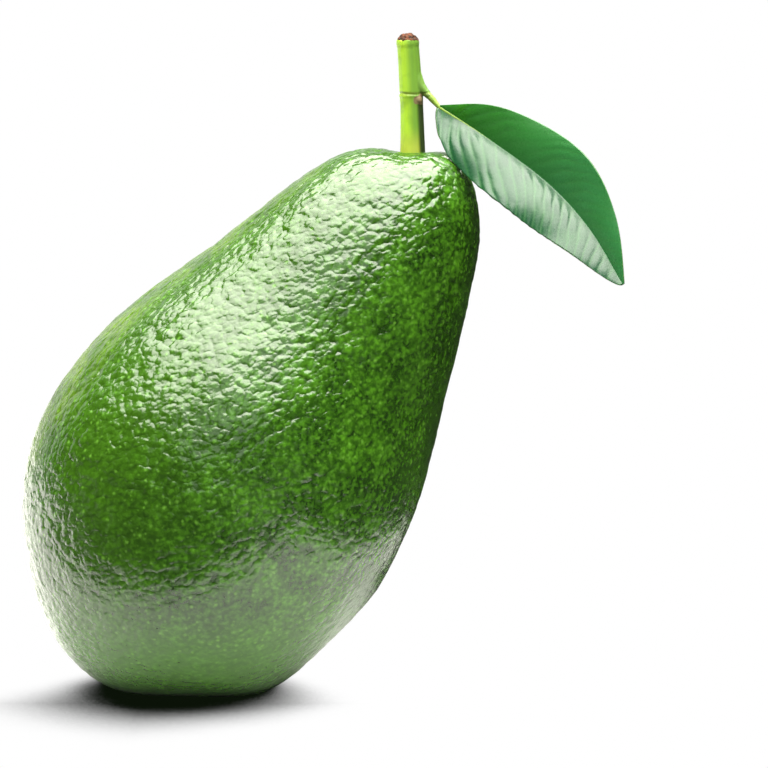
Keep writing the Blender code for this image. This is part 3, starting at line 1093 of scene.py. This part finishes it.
base = midrib_point(0.0)
route = [Vector(SHOULDER[-2][:3]) * MM, STALK_START, STALK_START.lerp(base, 0.5)]
radii = [STALK_RADIUS, STALK_RADIUS, STALK_RADIUS * 0.95]
for i in range(RIB_STEPS):
    share = RIB_END * i / (RIB_STEPS - 1)
    middle, _, facing = leaf_frame(share)
    route.append(middle - facing * RIB_DROP)
    radii.append(RIB_RADIUS + (RIB_TIP_RADIUS - RIB_RADIUS) * share)
rib = tube("leaf_rib", route, radii)
rib.data.materials.append(rib_green)
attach(rib, "root")
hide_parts("leaf")

# %% [markdown]
# ## The studio
# The fruit stands on white under one wide soft light overhead, which leans over from the right. That
# light makes the broad highlight on every part of the peel that looks up, and it lets the shadow gather
# close under the belly. A soft box with a grid over it is brightest along its axis, so the highlight
# fades towards the left. White surroundings behind on the left draw the pale left rim. The light's power
# is worked out from how bright its face has to be.

# %% Soft light overhead
FRUIT_MIDDLE = Vector((0.015, 0.0, 0.055))
SOFTBOX_AXIS = Vector((0.20, 0.0, 0.98)).normalized()  # from the fruit to the light
SOFTBOX_DISTANCE = 0.90
SOFTBOX_REACH = (-1.40, 0.55)  # left and right of the axis
SOFTBOX_DEPTH = (-0.88, 0.70)  # in front of the axis and behind it
SOFTBOX_SPREAD = math.radians(136.0)
SOFTBOX_BRIGHTNESS = 17.0  # along the axis

width = SOFTBOX_REACH[1] - SOFTBOX_REACH[0]
length = SOFTBOX_DEPTH[1] - SOFTBOX_DEPTH[0]
half_spread = SOFTBOX_SPREAD / 2
gathered = math.tan(half_spread) / (math.tan(half_spread) - half_spread)  # by the grid, into its axis
sideways = Vector((SOFTBOX_AXIS.z, 0.0, -SOFTBOX_AXIS.x))
softbox_data = bpy.data.lights.new("softbox", "AREA")
softbox_data.shape = "RECTANGLE"
softbox_data.size = width
softbox_data.size_y = length
softbox_data.spread = SOFTBOX_SPREAD
softbox_data.color = (1.0, 0.975, 0.90)
softbox_data.energy = SOFTBOX_BRIGHTNESS / gathered * math.pi * width * length
softbox = bpy.data.objects.new("softbox", softbox_data)
bpy.context.scene.collection.objects.link(softbox)
softbox.location = (
    FRUIT_MIDDLE
    + SOFTBOX_AXIS * SOFTBOX_DISTANCE
    + sideways * (sum(SOFTBOX_REACH) / 2)
    + Vector((0.0, sum(SOFTBOX_DEPTH) / 2, 0.0))
)
softbox.rotation_euler = (0.0, math.asin(SOFTBOX_AXIS.x), 0.0)
softbox.visible_camera = False
print("softbox:", round(softbox_data.energy), "W")

# %% Surroundings: white behind on the left, a pale glow high in front, dark elsewhere
world = bpy.data.worlds.new("studio")
bpy.context.scene.world = world
world.use_nodes = True
tree = world.node_tree
tree.nodes.clear()
direction = node(tree, "ShaderNodeTexCoord").outputs["Generated"]
all_round = 0.07
for towards, start, end, strength in (
    ((-0.40, 0.917, 0.0), 0.74, 0.90, 0.85),  # behind on the left
    ((-0.10, -0.82, 0.57), 0.90, 0.99, 1.8),  # high in front
):
    facing = node(
        tree, "ShaderNodeVectorMath", {0: direction, 1: towards}, operation="DOT_PRODUCT"
    ).outputs["Value"]
    glow = node(
        tree,
        "ShaderNodeMapRange",
        {"Value": facing, "From Min": start, "From Max": end, "To Max": strength},
        interpolation_type="SMOOTHSTEP",
    ).outputs[0]
    all_round = node(tree, "ShaderNodeMath", {0: glow, 1: all_round}, operation="ADD").outputs[0]
seen = node(tree, "ShaderNodeLightPath").outputs["Is Camera Ray"]
strength = node(tree, "ShaderNodeMix", {0: seen, 2: all_round, 3: 1.0}).outputs[0]
background = node(
    tree, "ShaderNodeBackground", {"Color": (1.0, 1.0, 1.0, 1.0), "Strength": strength}
).outputs[0]
node(tree, "ShaderNodeOutputWorld", {0: background})
bpy.context.scene.view_settings.view_transform = "Standard"

# %% [markdown]
# ## The floor
# The photograph shows a white paper sweep with a little shade at the fruit's foot. Lit paper would also
# show the shade of everything that stands outside the picture. So the camera sees paper whose shade comes
# from how much of the sky each place is open to, lightened from the right and from behind, where the
# photograph has hardly any. The peel mirrors plain matt paper instead, as it would in a studio.

# %% White floor
FLOOR_SIDE = 8.0
FLOOR_Z = -0.05 * MM
SHADOW_REACH = 34.0 * MM


def sheet(name, width, length, z):
    """A flat rectangle round the origin that faces up and belongs to the studio."""
    bm = bmesh.new()
    bmesh.ops.create_grid(bm, x_segments=1, y_segments=1, size=0.5)
    for v in bm.verts:
        v.co = Vector((v.co.x * width, v.co.y * length, z))
    made = mesh_object(name, bm)
    return made


floor = sheet("floor", FLOOR_SIDE, FLOOR_SIDE, FLOOR_Z)
paper, tree, shader, place = blank_material("white paper sweep")
shader.inputs["Base Color"].default_value = (0.55, 0.55, 0.55, 1.0)
shader.inputs["Roughness"].default_value = 0.9
shader.inputs["Specular IOR Level"].default_value = 0.2
# The camera sees a painted shadow: the paper glows white and is painted darker the less of the sky it is
# open to, with painted light filled in from the right and from behind. Other rays see the matt paper.
open_sky = node(
    tree, "ShaderNodeAmbientOcclusion", {"Distance": SHADOW_REACH}, samples=16
).outputs["AO"]
apart = node(tree, "ShaderNodeSeparateXYZ", {0: place})
openness = open_sky
for axis, start, end, light in (
    ("X", -8.0 * MM, 30.0 * MM, 0.29),  # painted light from the right
    ("Y", -16.0 * MM, 12.0 * MM, 0.44),  # painted light from behind
):
    painted_fill_light = node(
        tree,
        "ShaderNodeMapRange",
        {"Value": apart.outputs[axis], "From Min": start, "From Max": end, "To Max": light},
    ).outputs[0]
    openness = node(tree, "ShaderNodeMath", {0: openness, 1: painted_fill_light}, operation="ADD").outputs[0]
painted_lit = node(
    tree,
    "ShaderNodeMapRange",
    {"Value": openness, "From Min": 0.43, "From Max": 0.84},
    interpolation_type="SMOOTHSTEP",
).outputs[0]
# the painted shadow's dark green-grey, blended to white
painted_shadow = node(
    tree, "ShaderNodeMix", {0: painted_lit, 6: linear("#0b1208"), 7: (1.0, 1.0, 1.0, 1.0)}, data_type="RGBA"
).outputs[2]
painted_shadow_glow = node(tree, "ShaderNodeEmission", {"Color": painted_shadow}).outputs[0]
seen = node(tree, "ShaderNodeLightPath").outputs["Is Camera Ray"]
either = node(tree, "ShaderNodeMixShader", {0: seen, 1: shader.outputs[0], 2: painted_shadow_glow}).outputs[0]
tree.links.new(either, tree.nodes["Material Output"].inputs["Surface"])
floor.data.materials.append(paper)

# %% [markdown]
# ## The black cards
# Photographers keep a glossy thing dark by letting it mirror matt black card. Cards in front, on the
# right and behind on the right do that here for the deep green of the belly and the right edge. The
# camera doesn't see them, they throw no shade, and they fade out along their edges, because a sharp edge
# would be mirrored as a jagged line in the pebbled skin.

# %% Black cards that the camera doesn't see
CARD_SIDE = 1.2
CARD_FADE = 36.0 * MM
CARD_LIFT = 1.0 * MM
FRONT_CARD_EDGE = 38.0 * MM  # in front of the flat spot
FRONT_CARD_TURN = math.radians(-25.0)
RIGHT_CARD_EDGE = 60.0 * MM
BACK_CARD_CORNER = Vector((12.0, 4.0, 0.0)) * MM  # it lies on the floor from here to the back right
UPRIGHT_CARD_FOOT = Vector((30.0, 90.0, 1.0)) * MM  # its left end, behind the fruit
UPRIGHT_CARD_HEIGHT = 105.0 * MM

black, tree, shader, place = blank_material("black card")
shader.inputs["Base Color"].default_value = (0.02, 0.02, 0.02, 1.0)
shader.inputs["Roughness"].default_value = 1.0
shader.inputs["Specular IOR Level"].default_value = 0.0
from_middle = node(tree, "ShaderNodeVectorMath", {0: place}, operation="ABSOLUTE").outputs[0]
apart = node(tree, "ShaderNodeSeparateXYZ", {0: from_middle})
outermost = node(
    tree, "ShaderNodeMath", {0: apart.outputs["X"], 1: apart.outputs["Y"]}, operation="MAXIMUM"
).outputs[0]
solid = node(
    tree,
    "ShaderNodeMapRange",
    {"Value": outermost, "From Min": CARD_SIDE / 2, "From Max": CARD_SIDE / 2 - CARD_FADE},
    interpolation_type="SMOOTHSTEP",
).outputs[0]
tree.links.new(solid, shader.inputs["Alpha"])
front_card = sheet("card_front", CARD_SIDE, CARD_SIDE, CARD_LIFT)
right_card = sheet("card_right", CARD_SIDE, CARD_SIDE, CARD_LIFT)
back_card = sheet("card_back", CARD_SIDE, CARD_SIDE, CARD_LIFT)
upright_card = sheet("card_upright", CARD_SIDE, UPRIGHT_CARD_HEIGHT, 0.0)
for card, turn, edge in (
    (front_card, FRONT_CARD_TURN, FRONT_CARD_EDGE),
    (right_card, math.radians(90.0), RIGHT_CARD_EDGE),
):
    facing = Vector((math.sin(turn), -math.cos(turn), 0.0))
    card.location = facing * (edge + CARD_SIDE / 2)
    card.rotation_euler.z = turn
back_card.location = BACK_CARD_CORNER + Vector((CARD_SIDE / 2, CARD_SIDE / 2, 0.0))
upright_card.rotation_euler.x = math.radians(90.0)
upright_card.location = UPRIGHT_CARD_FOOT + Vector((CARD_SIDE / 2, 0.0, UPRIGHT_CARD_HEIGHT / 2))
for card in (front_card, right_card, back_card, upright_card):
    card.data.materials.append(black)
    card.visible_camera = False
    card.visible_shadow = False
